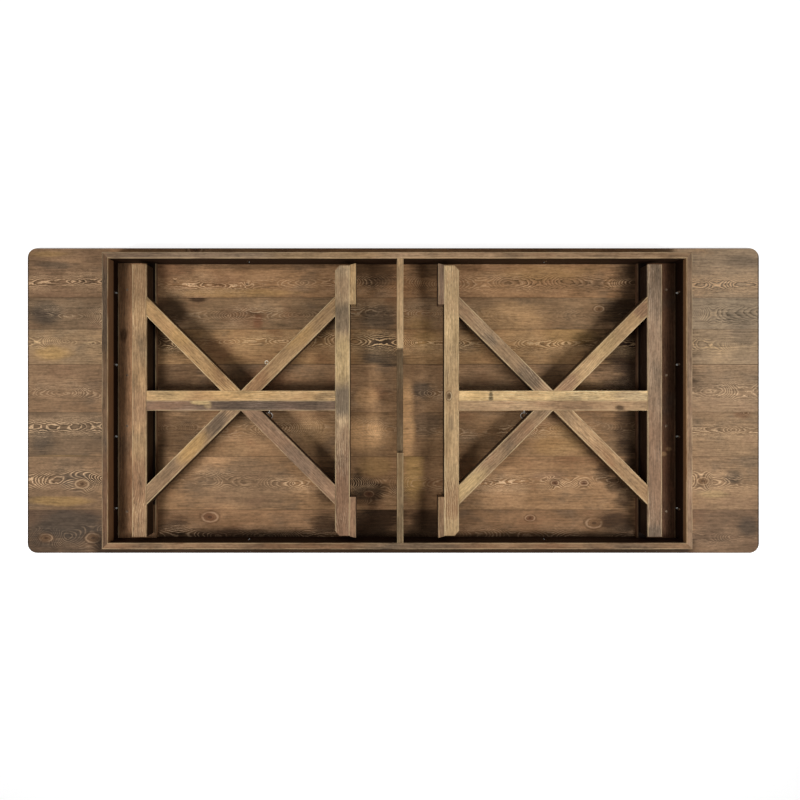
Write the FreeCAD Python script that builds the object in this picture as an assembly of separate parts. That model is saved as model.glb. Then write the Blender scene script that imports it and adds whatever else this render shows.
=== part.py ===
import FreeCAD, Part
import math
import os

# Folding farm dining table, lying on its top with both leg frames folded away.
# All sizes are in millimetres. The origin is the middle of the table top's upper
# face, which lies on the floor. +Z points up, so the underside of the table is
# seen from above. +X runs along the table and +Y across it.

# Table top
end_overhang = 278.0
top_width = 1016.0
top_thickness = 25.0
top_corner_radius = 32.0
top_edge_chamfer = 2.0
table_height = 762.0

# Apron frame under the top
leg_frames_gap = 264.4
side_overhang = 34.5
frame_shift = 11.0
apron_thickness = 20.0
apron_height = 96.0
apron_ease = 1.6

# Cross rail in the middle of the frame
centre_rail_thickness = 20.0
centre_rail_shift = 10.0
handle_notch_length = 333.0
handle_notch_depth = 34.0

# Boards that carry the hinges
hinge_board_thickness = 17.0
hinge_board_margin = 10.0
hinge_board_ease = 4.0
swing_gap = 9.0

# Leg frame
rail_width = 47.0
rail_depth = 60.0
hinge_rail_end_gap = 16.0
foot_rail_end_gap = 19.5
foot_corner_length = 16.0
foot_corner_depth = 14.0
pad_thickness = 20.0
pad_length = 131.0
pad_overhang = 7.0
pad_splay = 5.0
stave_width = 32.0
stave_depth = 46.0
brace_width = 45.0
brace_meeting_gap = 0.4
leg_ease = 2.4
stave_ease = 1.2
tenon_length = 18.0
tenon_thickness = 14.0
tenon_shoulder = 6.0
tenon_fit = 0.2

# Mortised butt hinges
fold_clearance = 0.4
hinge_count = 2
hinge_length = 76.0
hinge_end_distance = 130.0
leaf_width = 32.0
leaf_thickness = 2.0
knuckle_count = 3
knuckle_radius = 3.6
knuckle_gap = 0.3
hinge_pin_radius = 1.8
hinge_pin_head_radius = 2.7
hinge_pin_head_height = 1.4
pin_fit = 0.06
mortise_fit = 0.3
knuckle_relief = 0.7

# Folding stays
stay_table_reach = 250.0
stay_leg_reach = 250.0
link_width = 16.0
link_thickness = 3.0
link_floor_clearance = 0.7
link_side_gap = 0.3
link_spacing = 4.0
stay_offset = 27.5
leg_pivot_drop = 16.0
bracket_thickness = 2.5
bracket_length = 38.0
bracket_width = 24.0
stud_radius = 3.0
stud_head_radius = 5.0
stud_head_height = 1.4
knee_collar_radius = 6.0
knee_bolt_reach = 15.0
eye_radius = 4.5
eye_thickness = 3.0
eye_hole_radius = 1.9
ring_radius = 11.0
ring_wire_radius = 1.2
ring_rest_gap = 0.3

# Screw eye on the left leg frame
screw_eye_radius = 5.2
screw_eye_wire_radius = 1.5
screw_eye_shank = 14.0
screw_eye_reach = 145.0
screw_eye_depth = 7.0

# Screws
pocket_angle = 15.0
pocket_radius = 4.8
pocket_seat = 15.0
pan_head_radius = 4.2
pan_head_height = 2.6
pan_crown_height = 1.0
pan_crown_inset = 1.2
pocket_shank_radius = 2.1
pocket_screw_depth = 17.0
end_pocket_count = 4
wood_screw_head_radius = 4.4
wood_screw_head_height = 2.6
wood_screw_radius = 2.2
wood_screw_length = 31.0
board_screw_setback = 30.0
leaf_screw_head_radius = 3.4
leaf_screw_head_height = 1.7
leaf_screw_radius = 1.7
leaf_screw_length = 14.0
screw_fit = 0.1

# Shares of the sizes that they follow
board_width_shares = (0.142, 0.175, 0.145, 0.157, 0.115, 0.103, 0.163)
side_pocket_share = 0.528
board_screw_shares = (-0.808, -0.185, 0.185, 0.808)
leaf_screw_across_share = 0.62
leaf_screw_along_shares = (-0.34, 0.0, 0.34)
bracket_screw_along_shares = (-0.3, 0.3)
parallel_share = 0.999

# Counts of flat sides, where a small round piece is cut with flats
screw_sides = 8
head_sides = 12
wire_sides = 6
ring_steps = 20

# Directions and the overrun of every cut
ALONG = FreeCAD.Vector(1, 0, 0)
ACROSS = FreeCAD.Vector(0, 1, 0)
UP = FreeCAD.Vector(0, 0, 1)
overrun = 5.0
nearness = 0.01

# Places worked out from the sizes above. The frame is just long enough for both leg
# frames to lie in it, end to end, and the top overhangs the frame all round.
underside = top_thickness
apron_edge = underside + apron_height
hinge_board_top = underside + hinge_board_thickness
axis_height = hinge_board_top + fold_clearance / 2
leg_height = table_height - axis_height
hinge_setback = rail_depth + swing_gap
hinge_board_width = hinge_setback + rail_width + hinge_board_margin
inner_half_length = hinge_setback + leg_height + leg_frames_gap / 2
frame_length = 2 * (inner_half_length + apron_thickness)
top_length = frame_length + 2 * end_overhang
frame_width = top_width - 2 * side_overhang
inner_half_width = frame_width / 2 - apron_thickness
hinge_rail_length = 2 * (inner_half_width - hinge_rail_end_gap)
foot_rail_length = 2 * (inner_half_width - foot_rail_end_gap)
axis_x = frame_shift - inner_half_length + hinge_setback
rail_bottom = axis_height + fold_clearance / 2
rail_top = rail_bottom + rail_depth
stave_bottom = rail_top - stave_depth
foot_rail_start = leg_height - pad_thickness - rail_width
post_span = foot_rail_start - rail_width
cross_centre = axis_x + rail_width + post_span / 2

# The two links of a stay lie side by side, with their pivots on the table and on
# the leg frame. Together they are as long as the distance between the pivots once
# the leg frame stands square to the table, so that they are then in one line. They
# differ by as much as the two reaches, so that they lie flat with one knee beyond
# both pivots once the leg frame is folded.
table_pivot_height = underside + link_width / 2 + link_floor_clearance
table_pivot = FreeCAD.Vector(axis_x + stay_table_reach, 0, table_pivot_height)
leg_pivot = FreeCAD.Vector(axis_x + stay_leg_reach, 0, stave_bottom - leg_pivot_drop)
pivot_drop = axis_height - leg_pivot.z
open_run_x = stay_table_reach - pivot_drop
open_run_z = stay_leg_reach + axis_height - table_pivot.z
open_length = math.hypot(open_run_x, open_run_z)
reach_difference = stay_leg_reach - stay_table_reach
table_link_length = (open_length + reach_difference) / 2
leg_link_length = (open_length - reach_difference) / 2
pivot_line = leg_pivot - table_pivot
pivot_distance = pivot_line.Length
pivot_way = pivot_line / pivot_distance
link_squares = table_link_length ** 2 - leg_link_length ** 2
knee_along = (link_squares + pivot_distance ** 2) / (2 * pivot_distance)
knee_aside = math.sqrt(table_link_length ** 2 - knee_along ** 2)
knee = table_pivot + pivot_way * knee_along + FreeCAD.Vector(pivot_way.z, 0, -pivot_way.x) * knee_aside

# Layers of the stay across the table, from the ring's side inwards
leg_ear_face = -stay_offset
leg_link_face = leg_ear_face + bracket_thickness + link_side_gap
table_link_face = leg_link_face + link_thickness + link_spacing
table_ear_face = table_link_face + link_thickness + link_side_gap
eye_middle = FreeCAD.Vector(knee.x, leg_link_face - knee_bolt_reach, knee.z)
ring_drop = knee.z - underside - ring_wire_radius - ring_rest_gap
ring_tilt = math.asin(ring_drop / (2 * ring_radius))


def block(low, high):
    """A squared block between two opposite corners."""
    size = FreeCAD.Vector(*high) - FreeCAD.Vector(*low)
    return Part.makeBox(size.x, size.y, size.z, FreeCAD.Vector(*low))


def prism(outline, bottom, height):
    """A flat outline in the ground plane, raised straight up."""
    points = [FreeCAD.Vector(x, y, bottom) for x, y in outline]
    face = Part.Face(Part.makePolygon(points + points[:1]))
    return face.extrude(UP * height)


def rod(start, direction, radius, length):
    """A round rod that starts at a point and runs along a direction."""
    return Part.makeCylinder(radius, length, start, direction)


def edge_way(edge):
    """The straight way from one end of an edge to the other."""
    return edge.Vertexes[-1].Point - edge.Vertexes[0].Point


def runs_along(edge, direction):
    """Whether an edge lies along a direction, either way round."""
    way = edge_way(edge)
    return abs(way.dot(direction)) > parallel_share * way.Length * direction.Length


def eased(shape, size, chosen):
    """Takes the sharp arris off the chosen edges with a small chamfer."""
    return shape.makeChamfer(size, [edge for edge in shape.Edges if chosen(edge)])


def without(shape, tools):
    """Cuts each tool that meets the shape out of it."""
    for tool in tools:
        if shape.BoundBox.intersect(tool.BoundBox):
            shape = shape.cut(tool)
    return shape


def ring_corner(radius, height, step, sides):
    """The corner that an outline's point reaches after some equal steps round the upright axis."""
    angle = 2 * math.pi * step / sides
    return FreeCAD.Vector(radius * math.cos(angle), radius * math.sin(angle), height)


def turned(outline, sides, point, outward):
    """A closed outline of radius and height, carried round an axis in equal flat steps."""
    faces = []
    for step in range(sides):
        for near, far in zip(outline, outline[1:] + outline[:1]):
            corners = [ring_corner(*near, step, sides), ring_corner(*near, step + 1, sides)]
            corners += [ring_corner(*far, step + 1, sides), ring_corner(*far, step, sides)]
            if near[0] == 0:
                corners.pop(1)
            if far[0] == 0:
                corners.pop(2 if near[0] else 1)
            if len(corners) > 2:
                faces.append(Part.Face(Part.makePolygon(corners + corners[:1])))
    shape = Part.Solid(Part.Shell(faces))
    if shape.Volume < 0:
        shape.reverse()
    shape.Placement = FreeCAD.Placement(point, FreeCAD.Rotation(UP, outward))
    return shape


def stub(start, direction, radius, length):
    """A short bar with flats, for heads and collars that carry no running fit."""
    return turned([(0, 0), (radius, 0), (radius, length), (0, length)], head_sides, start, direction)


def wire_ring(middle, normal, radius, wire_radius):
    """A ring of wire, with flats round the wire and along it."""
    section = []
    for index in range(wire_sides):
        angle = 2 * math.pi * (index + 0.5) / wire_sides
        section.append((radius + wire_radius * math.cos(angle), wire_radius * math.sin(angle)))
    return turned(section, ring_steps, middle, normal)


def flat_screw(point, outward, head_radius, head_height, radius, length, fit):
    """A countersunk screw whose head ends flush at the point. A fit above zero gives its hole."""
    outline = [(0, 0), (head_radius + fit, 0), (radius + fit, -head_height), (radius + fit, -length - fit)]
    outline.append((0, -length - fit))
    return turned(outline, screw_sides, point, outward)


def wood_screw(point, outward, fit):
    """The screw that holds a hinge board to the table top, or its hole."""
    sizes = (wood_screw_head_radius, wood_screw_head_height, wood_screw_radius, wood_screw_length)
    return flat_screw(point, outward, *sizes, fit)


def leaf_screw(point, outward, fit):
    """The short screw of a hinge leaf or a stay bracket, or its hole."""
    sizes = (leaf_screw_head_radius, leaf_screw_head_height, leaf_screw_radius, leaf_screw_length)
    return flat_screw(point, outward, *sizes, fit)


def mirrored(shape):
    """The same piece on the other leg frame, in the frame's middle plane."""
    return shape.mirror(ALONG * frame_shift, ALONG)


# Screws and their holes


def pocket_places():
    """Where each slanted pocket screw crosses the underside, and the way into the frame."""
    places = []
    middle_x = inner_half_length + apron_thickness / 2
    middle_y = inner_half_width + apron_thickness / 2
    side_x = inner_half_length * side_pocket_share
    pitch = frame_width / end_pocket_count
    for index in range(end_pocket_count):
        y = (index - (end_pocket_count - 1) / 2) * pitch
        for side in (-1, 1):
            places.append((FreeCAD.Vector(frame_shift + side * middle_x, y, underside), ALONG * -side))
    for x in (-side_x, side_x):
        for side in (-1, 1):
            places.append((FreeCAD.Vector(frame_shift + x, side * middle_y, underside), ACROSS * -side))
    return places


def pocket_way(inward):
    """The direction of a pocket screw, leaning from upright into the frame."""
    lean = math.radians(pocket_angle)
    return inward * math.sin(lean) + UP * math.cos(lean)


def pocket_screw(place, inward):
    """A pan head screw that lies in its pocket and pulls the apron down on the top."""
    way = pocket_way(inward)
    seat = place + way * pocket_seat
    length = pocket_seat + pocket_screw_depth
    outline = [(0, pan_head_height), (pan_head_radius - pan_crown_inset, pan_head_height)]
    outline.append((pan_head_radius, pan_head_height - pan_crown_height))
    outline += [(pan_head_radius, 0), (pocket_shank_radius, 0)]
    outline += [(pocket_shank_radius, -length), (0, -length)]
    return turned(outline, screw_sides, seat, way)


def pocket_hole(place, inward):
    """The slanted pocket and shank hole of a pocket screw."""
    way = pocket_way(inward)
    run = (apron_thickness + 2 * pocket_radius) / math.sin(math.radians(pocket_angle))
    seat = place + way * pocket_seat
    radius = pocket_shank_radius + screw_fit
    depth = pocket_seat + pocket_screw_depth + screw_fit
    outline = [(0, run), (pocket_radius, run), (pocket_radius, 0), (radius, 0)]
    return turned(outline + [(radius, -depth), (0, -depth)], head_sides, seat, way)


def board_screw_points():
    """Heads of the screws through both hinge boards."""
    points = []
    x = inner_half_length - board_screw_setback
    for side in (-1, 1):
        for share in board_screw_shares:
            y = inner_half_width * share
            points.append(FreeCAD.Vector(frame_shift + side * x, y, hinge_board_top))
    return points


def hinge_middles():
    """Middles of the butt hinges along the hinge axis of the left leg frame."""
    last = hinge_rail_length / 2 - hinge_end_distance
    step = 2 * last / (hinge_count - 1)
    return [FreeCAD.Vector(axis_x, index * step - last, axis_height) for index in range(hinge_count)]


def leaf_screw_points(level):
    """Screw heads of the left hinge leaves on one level."""
    points = []
    for middle in hinge_middles():
        for share in leaf_screw_along_shares:
            x = axis_x + leaf_width * leaf_screw_across_share
            points.append(FreeCAD.Vector(x, middle.y + hinge_length * share, level))
    return points


def bracket_screw_points(pivot, y, level):
    """Screw heads of one stay bracket on one level."""
    places = [pivot.x + bracket_length * share for share in bracket_screw_along_shares]
    return [FreeCAD.Vector(x, y, level) for x in places]


def table_side_screws(fit):
    """Short screws of the left hinge leaves and stay bracket that go into the table."""
    level = axis_height - fold_clearance / 2
    screws = [leaf_screw(point, UP, fit) for point in leaf_screw_points(level)]
    y = table_ear_face + bracket_thickness + (bracket_width - bracket_thickness) / 2
    for point in bracket_screw_points(table_pivot, y, underside + bracket_thickness):
        screws.append(leaf_screw(point, UP, fit))
    return screws


def leg_side_screws(fit):
    """Short screws of the left hinge leaves and stay bracket that go into the leg frame."""
    level = axis_height + fold_clearance / 2
    screws = [leaf_screw(point, UP * -1, fit) for point in leaf_screw_points(level)]
    y = leg_ear_face + bracket_thickness + (bracket_width - bracket_thickness) / 2
    for point in bracket_screw_points(leg_pivot, y, stave_bottom - bracket_thickness):
        screws.append(leaf_screw(point, UP * -1, fit))
    return screws


def both_sides(shapes):
    """Left pieces and their mirrored copies."""
    return shapes + [mirrored(shape) for shape in shapes]


# Table top and its frame


def board_edges():
    """Lines across the table where one top board ends and the next begins."""
    edges = [-top_width / 2]
    for share in board_width_shares:
        edges.append(edges[-1] + top_width * share)
    return edges


def top_slab():
    """The whole top: a slab with round corners and a small chamfer round its rim."""
    corner = (top_length / 2, top_width / 2)
    slab = block((-corner[0], -corner[1], 0), (corner[0], corner[1], top_thickness))
    slab = slab.makeFillet(top_corner_radius, [edge for edge in slab.Edges if runs_along(edge, UP)])
    rims = [edge for edge in slab.Edges if not runs_along(edge, UP)]
    return slab.makeChamfer(top_edge_chamfer, rims)


def top_boards():
    """The boards that are glued edge to edge into the top, from front to back."""
    slab = top_slab()
    holes = [pocket_hole(*place) for place in pocket_places()]
    holes += [wood_screw(point, UP, screw_fit) for point in board_screw_points()]
    holes += both_sides(table_side_screws(screw_fit))
    edges = board_edges()
    boards = []
    for low, high in zip(edges[:-1], edges[1:]):
        strip = block((-top_length, low, -overrun), (top_length, high, top_thickness + overrun))
        boards.append(without(slab.common(strip), holes))
    return boards


def on_apron_edge(edge):
    """Whether an edge lies on the aprons' free edge."""
    return abs(edge.BoundBox.ZMin - apron_edge) < nearness


def long_apron(side):
    """A long apron, mitred at both ends."""
    outer = frame_length / 2
    y_outer = side * frame_width / 2
    y_inner = side * inner_half_width
    outline = [(frame_shift - outer, y_outer), (frame_shift + outer, y_outer)]
    outline += [(frame_shift + inner_half_length, y_inner), (frame_shift - inner_half_length, y_inner)]
    apron = prism(outline, underside, apron_height)
    apron = eased(apron, apron_ease, lambda edge: on_apron_edge(edge) and runs_along(edge, ALONG))
    return without(apron, [pocket_hole(*place) for place in pocket_places()])


def end_apron(side):
    """An end apron, mitred at both ends."""
    outer = frame_width / 2
    x_outer = frame_shift + side * frame_length / 2
    x_inner = frame_shift + side * inner_half_length
    outline = [(x_outer, -outer), (x_outer, outer)]
    outline += [(x_inner, inner_half_width), (x_inner, -inner_half_width)]
    apron = prism(outline, underside, apron_height)
    apron = eased(apron, apron_ease, lambda edge: on_apron_edge(edge) and runs_along(edge, ACROSS))
    return without(apron, [pocket_hole(*place) for place in pocket_places()])


def centre_rail():
    """The cross rail between the long aprons, with a long hand notch in its free edge."""
    middle = frame_shift + centre_rail_shift
    low_x = middle - centre_rail_thickness / 2
    high_x = middle + centre_rail_thickness / 2
    rail = block((low_x, -inner_half_width, underside), (high_x, inner_half_width, apron_edge))
    notch_half = handle_notch_length / 2
    notch_bottom = apron_edge - handle_notch_depth
    notch_low = (low_x - overrun, -notch_half, notch_bottom)
    notch = block(notch_low, (high_x + overrun, notch_half, apron_edge + overrun))
    return eased(rail.cut(notch), apron_ease, lambda edge: on_apron_edge(edge) and runs_along(edge, ACROSS))


def hinge_board():
    """The left board under the hinges, against the end apron, mortised for the leaves."""
    start = frame_shift - inner_half_length
    end = start + hinge_board_width
    board = block((start, -inner_half_width, underside), (end, inner_half_width, hinge_board_top))

    def free_edge(edge):
        box = edge.BoundBox
        at_top = box.ZMin > hinge_board_top - nearness
        return at_top and box.XMin > end - nearness and runs_along(edge, ACROSS)

    board = eased(board, hinge_board_ease, free_edge)
    cuts = [leaf_mortise(middle, -1) for middle in hinge_middles()]
    cuts += [knuckle_mortise(middle) for middle in hinge_middles()]
    cuts += [wood_screw(point, UP, screw_fit) for point in board_screw_points()]
    cuts += table_side_screws(screw_fit)
    return without(board, cuts)


# Butt hinges of the left leg frame


def leaf_mortise(middle, side):
    """The shallow recess for one leaf, below the axis for side -1 and above it for side 1."""
    near = side * fold_clearance / 2
    far = near + side * leaf_thickness
    lows = sorted((0, far)) if side > 0 else sorted((far, 0))
    half = hinge_length / 2 + mortise_fit
    low = (middle.x, middle.y - half, middle.z + lows[0])
    high = (middle.x + leaf_width + mortise_fit, middle.y + half, middle.z + lows[1])
    return block(low, high)


def knuckle_mortise(middle):
    """The square groove that leaves room for the knuckles and the pin's heads."""
    half = hinge_length / 2 + hinge_pin_head_height + 2 * knuckle_gap
    room = knuckle_radius + knuckle_relief
    low = (middle.x - room, middle.y - half, middle.z - room)
    return block(low, (middle.x + room, middle.y + half, middle.z + room))


def hinge_leaf(middle, side):
    """One leaf with its knuckles rolled round the pin. Side -1 is screwed to the board."""
    pitch = hinge_length / knuckle_count
    near = side * fold_clearance / 2
    far = near + side * leaf_thickness
    half = hinge_length / 2
    low = (middle.x, middle.y - half, middle.z + min(near, far))
    high = (middle.x + leaf_width, middle.y + half, middle.z + max(near, far))
    leaf = block(low, high)
    for index in range(knuckle_count):
        own = (index % 2 == 0) == (side < 0)
        start = middle + ACROSS * (index * pitch - half)
        if own:
            knuckle_start = start + ACROSS * (knuckle_gap / 2)
            leaf = leaf.fuse(rod(knuckle_start, ACROSS, knuckle_radius, pitch - knuckle_gap))
        else:
            room = knuckle_radius + knuckle_gap
            notch_low = (middle.x - room, start.y - knuckle_gap / 2, middle.z - room)
            notch_high = (middle.x + room, start.y + pitch + knuckle_gap / 2, middle.z + room)
            leaf = leaf.cut(block(notch_low, notch_high))
    bore = rod(middle - ACROSS * hinge_length, ACROSS, hinge_pin_radius + pin_fit, 2 * hinge_length)
    return leaf.removeSplitter().cut(bore)


def fixed_leaves():
    """Leaves that are screwed to the left hinge board."""
    leaves = [hinge_leaf(middle, -1) for middle in hinge_middles()]
    return [without(leaf, table_side_screws(screw_fit)) for leaf in leaves]


def moving_leaves():
    """Leaves that are screwed to the left hinge rail."""
    leaves = [hinge_leaf(middle, 1) for middle in hinge_middles()]
    return [without(leaf, leg_side_screws(screw_fit)) for leaf in leaves]


def hinge_pins():
    """Pins of the left hinges, each with a small head at both ends."""
    pins = []
    half = hinge_length / 2 + knuckle_gap / 2
    for middle in hinge_middles():
        pin = rod(middle - ACROSS * half, ACROSS, hinge_pin_radius, 2 * half)
        for side in (-1, 1):
            start = middle + ACROSS * (side * half)
            pin = pin.fuse(stub(start, ACROSS * side, hinge_pin_head_radius, hinge_pin_head_height))
        pins.append(pin.removeSplitter())
    return pins


# Left leg frame


def hinge_rail():
    """The rail that turns on the hinges, mortised for the leaves and the post."""
    half = hinge_rail_length / 2
    rail = block((axis_x, -half, rail_bottom), (axis_x + rail_width, half, rail_top))

    def upper_edge(edge):
        return runs_along(edge, ACROSS) and edge.BoundBox.ZMin > rail_top - nearness

    rail = eased(rail, leg_ease, upper_edge)
    cuts = [leaf_mortise(middle, 1) for middle in hinge_middles()]
    cuts += [knuckle_mortise(middle) for middle in hinge_middles()]
    cuts += leg_side_screws(screw_fit)
    cuts += [tenon(side, tenon_fit) for side in (-1, 1)]
    return without(rail, cuts)


def foot_rail():
    """The rail over the feet, with its two inner corners cut back."""
    start = axis_x + foot_rail_start
    end = start + rail_width
    half = foot_rail_length / 2
    outline = [(end, -half), (end, half), (start + foot_corner_depth, half)]
    outline += [(start, half - foot_corner_length), (start, foot_corner_length - half)]
    outline.append((start + foot_corner_depth, -half))
    rail = prism(outline, rail_bottom, rail_depth)

    def long_inner_edge(edge):
        return runs_along(edge, ACROSS) and edge.BoundBox.XMax < start + nearness

    rail = eased(rail, leg_ease, long_inner_edge)
    return without(rail, [tenon(side, tenon_fit) for side in (-1, 1)])


def tenon(side, fit):
    """The tongue through a stave's ends that sits in both rails, or its mortise with a fit."""
    start = axis_x + rail_width - tenon_length - fit
    end = axis_x + foot_rail_start + tenon_length + fit
    near = tenon_shoulder - fit
    far = stave_width - tenon_shoulder + fit
    middle = stave_bottom + stave_depth / 2
    low_y, high_y = sorted((side * near, side * far))
    half = tenon_thickness / 2 + fit
    return block((start, low_y, middle - half), (end, high_y, middle + half))


def stave(side):
    """One of the two staves that make the post. Side -1 is the front one."""
    start = axis_x + rail_width
    low_y, high_y = sorted((0, side * stave_width))
    body = block((start, low_y, stave_bottom), (start + post_span, high_y, rail_top))
    body = eased(body, stave_ease, lambda edge: runs_along(edge, ALONG))
    body = body.fuse(tenon(side, 0)).removeSplitter()
    return without(body, leg_side_screws(screw_fit))


def brace(end_side, side):
    """Half a diagonal, from the post to the hinge rail (-1) or the foot rail (1)."""
    way = FreeCAD.Vector(end_side, side, 0).normalize()
    across = FreeCAD.Vector(-way.y, way.x, 0) * (brace_width / 2)
    centre = FreeCAD.Vector(cross_centre, 0, 0)
    far = centre + way * post_span
    corners = [centre + across, far + across, far - across, centre - across]
    strip = prism([(corner.x, corner.y) for corner in corners], stave_bottom, stave_depth)
    inner_x = cross_centre + end_side * brace_meeting_gap / 2
    outer_x = cross_centre + end_side * post_span / 2
    low_x, high_x = sorted((inner_x, outer_x))
    low_y, high_y = sorted((side * stave_width, side * hinge_rail_length))
    room = block((low_x, low_y, stave_bottom), (high_x, high_y, rail_top))
    body = eased(strip.common(room), leg_ease / 2, lambda edge: runs_along(edge, way))
    return body


def screw_eye():
    """The eye in the side of a brace: a wire ring on a shank that goes into the wood."""
    way = FreeCAD.Vector(1, 1, 0).normalize()
    outward = FreeCAD.Vector(-1, 1, 0).normalize()
    face_point = FreeCAD.Vector(cross_centre, 0, rail_top - screw_eye_depth)
    face_point += way * screw_eye_reach + outward * (brace_width / 2)
    ring_middle = face_point + outward * (screw_eye_radius + screw_eye_wire_radius)
    ring = wire_ring(ring_middle, UP, screw_eye_radius, screw_eye_wire_radius)
    shank_end = ring_middle - outward * screw_eye_radius
    shank = stub(shank_end, outward * -1, screw_eye_wire_radius, screw_eye_shank)
    hole_length = screw_eye_shank + screw_fit
    hole = stub(shank_end, outward * -1, screw_eye_wire_radius + screw_fit, hole_length)
    return ring.fuse(shank), hole


def foot_pad(side):
    """The pad under one end of the foot rail, longer on the floor side."""
    start = axis_x + foot_rail_start + rail_width
    end = axis_x + leg_height
    outer = foot_rail_length / 2 + pad_overhang
    outline = [(start, side * (outer - pad_splay)), (end, side * outer)]
    outline += [(end, side * (outer - pad_length)), (start, side * (outer - pad_length))]
    pad = prism(outline, rail_bottom, rail_depth)
    return eased(pad, stave_ease, lambda edge: edge.BoundBox.XMin > end - nearness)


# Left folding stay


def slot_bar(start, end, face, thickness):
    """A flat bar with round ends, from one hole centre to the other."""
    along = (end - start).normalize()
    reach = along * (link_width / 2)
    across = FreeCAD.Vector(-along.z, 0, along.x) * (link_width / 2)
    low = start + ACROSS * face
    high = end + ACROSS * face
    edges = [Part.LineSegment(low + across, high + across).toShape()]
    edges.append(Part.Arc(high + across, high + reach, high - across).toShape())
    edges.append(Part.LineSegment(high - across, low - across).toShape())
    edges.append(Part.Arc(low - across, low - reach, low + across).toShape())
    return Part.Face(Part.Wire(edges)).extrude(ACROSS * thickness)


def table_link():
    """The link on the table's pivot, with the knee's rivet head on its inner side."""
    bar = slot_bar(table_pivot, knee, table_link_face, link_thickness)
    bore_start = table_pivot + ACROSS * (table_link_face - overrun)
    bar = bar.cut(rod(bore_start, ACROSS, stud_radius + pin_fit, 2 * overrun + link_thickness))
    head_start = knee + ACROSS * (table_link_face + link_thickness)
    return bar.fuse(stub(head_start, ACROSS, knee_collar_radius, stud_head_height)).removeSplitter()


def leg_link():
    """The link on the leg frame's pivot, bored for the knee bolt."""
    bar = slot_bar(leg_pivot, knee, leg_link_face, link_thickness)
    for centre, radius in ((leg_pivot, stud_radius + pin_fit), (knee, stud_radius)):
        bore_start = centre + ACROSS * (leg_link_face - overrun)
        bar = bar.cut(rod(bore_start, ACROSS, radius, 2 * overrun + link_thickness))
    return bar


def knee_bolt():
    """The bolt at the knee: a collar between the links and an eye for the pull ring."""
    collar_start = knee + ACROSS * (leg_link_face + link_thickness)
    collar = stub(collar_start, ACROSS, knee_collar_radius, link_spacing - link_side_gap)
    shank_length = link_thickness + knee_bolt_reach - eye_hole_radius
    shank = stub(collar_start, ACROSS * -1, stud_radius, shank_length)
    outer_start = knee + ACROSS * leg_link_face
    washer = stub(outer_start, ACROSS * -1, knee_collar_radius, stud_head_height)
    eye = stub(eye_middle - ALONG * (eye_thickness / 2), ALONG, eye_radius, eye_thickness)
    bolt = collar.fuse([shank, washer, eye]).removeSplitter()
    hole_start = eye_middle - ALONG * (eye_radius + overrun)
    return bolt.cut(rod(hole_start, ALONG, eye_hole_radius, 2 * (eye_radius + overrun)))


def pull_ring():
    """The ring through the bolt's eye, leaning down until it rests on the top."""
    way = FreeCAD.Vector(0, -math.cos(ring_tilt), -math.sin(ring_tilt))
    normal = way.cross(ALONG)
    return wire_ring(eye_middle + way * ring_radius, normal, ring_radius, ring_wire_radius)


def bracket(pivot, face, level, side, head_way):
    """A bent plate with an ear and a riveted stud. Side is 1 on the table and -1 on the leg frame."""
    half = bracket_length / 2
    low_y, high_y = sorted((face, face + bracket_width))
    plate_levels = sorted((level, level + side * bracket_thickness))
    plate = block((pivot.x - half, low_y, plate_levels[0]), (pivot.x + half, high_y, plate_levels[1]))
    ear_levels = sorted((level, pivot.z))
    ear_half = link_width / 2
    ear_low = (pivot.x - ear_half, face, ear_levels[0])
    ear = block(ear_low, (pivot.x + ear_half, face + bracket_thickness, ear_levels[1]))
    tip = stub(pivot + ACROSS * face, ACROSS, ear_half, bracket_thickness)
    ear_side = face if head_way < 0 else face + bracket_thickness
    stud_start = pivot + ACROSS * ear_side
    stud_run = link_thickness + 2 * link_side_gap
    stud = rod(stud_start, ACROSS * head_way, stud_radius, stud_run)
    head_start = stud_start + ACROSS * (head_way * stud_run)
    head = stub(head_start, ACROSS * head_way, stud_head_radius, stud_head_height)
    return plate.fuse([ear, tip, stud, head]).removeSplitter()


def table_bracket():
    """The bracket on the underside of the top, its stud towards the links."""
    piece = bracket(table_pivot, table_ear_face, underside, 1, -1)
    return without(piece, table_side_screws(screw_fit))


def leg_bracket():
    """The bracket on the inner side of the post, its stud towards the links."""
    piece = bracket(leg_pivot, leg_ear_face, stave_bottom, -1, 1)
    return without(piece, leg_side_screws(screw_fit))


# Every named piece


def table_pieces():
    """The pieces that stay with the top."""
    pieces = {}
    for number, board in enumerate(top_boards(), start=1):
        pieces[f"top_board_{number}"] = board
    pieces["front_apron"] = long_apron(-1)
    pieces["back_apron"] = long_apron(1)
    pieces["left_end_apron"] = end_apron(-1)
    pieces["right_end_apron"] = end_apron(1)
    pieces["centre_rail"] = centre_rail()
    pieces["left_hinge_board"] = hinge_board()
    pieces["right_hinge_board"] = mirrored(pieces["left_hinge_board"])
    pieces["apron_pocket_screws"] = Part.makeCompound([pocket_screw(*place) for place in pocket_places()])
    board_screws = [wood_screw(point, UP, 0) for point in board_screw_points()]
    pieces["hinge_board_screws"] = Part.makeCompound(board_screws)
    pieces["top_hardware_screws"] = Part.makeCompound(both_sides(table_side_screws(0)))
    pieces["hinge_pins"] = Part.makeCompound(both_sides(hinge_pins()))
    pieces["left_hinge_fixed_leaves"] = Part.makeCompound(fixed_leaves())
    pieces["right_hinge_fixed_leaves"] = mirrored(pieces["left_hinge_fixed_leaves"])
    pieces["left_table_bracket"] = table_bracket()
    pieces["right_table_bracket"] = mirrored(pieces["left_table_bracket"])
    return pieces


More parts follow.
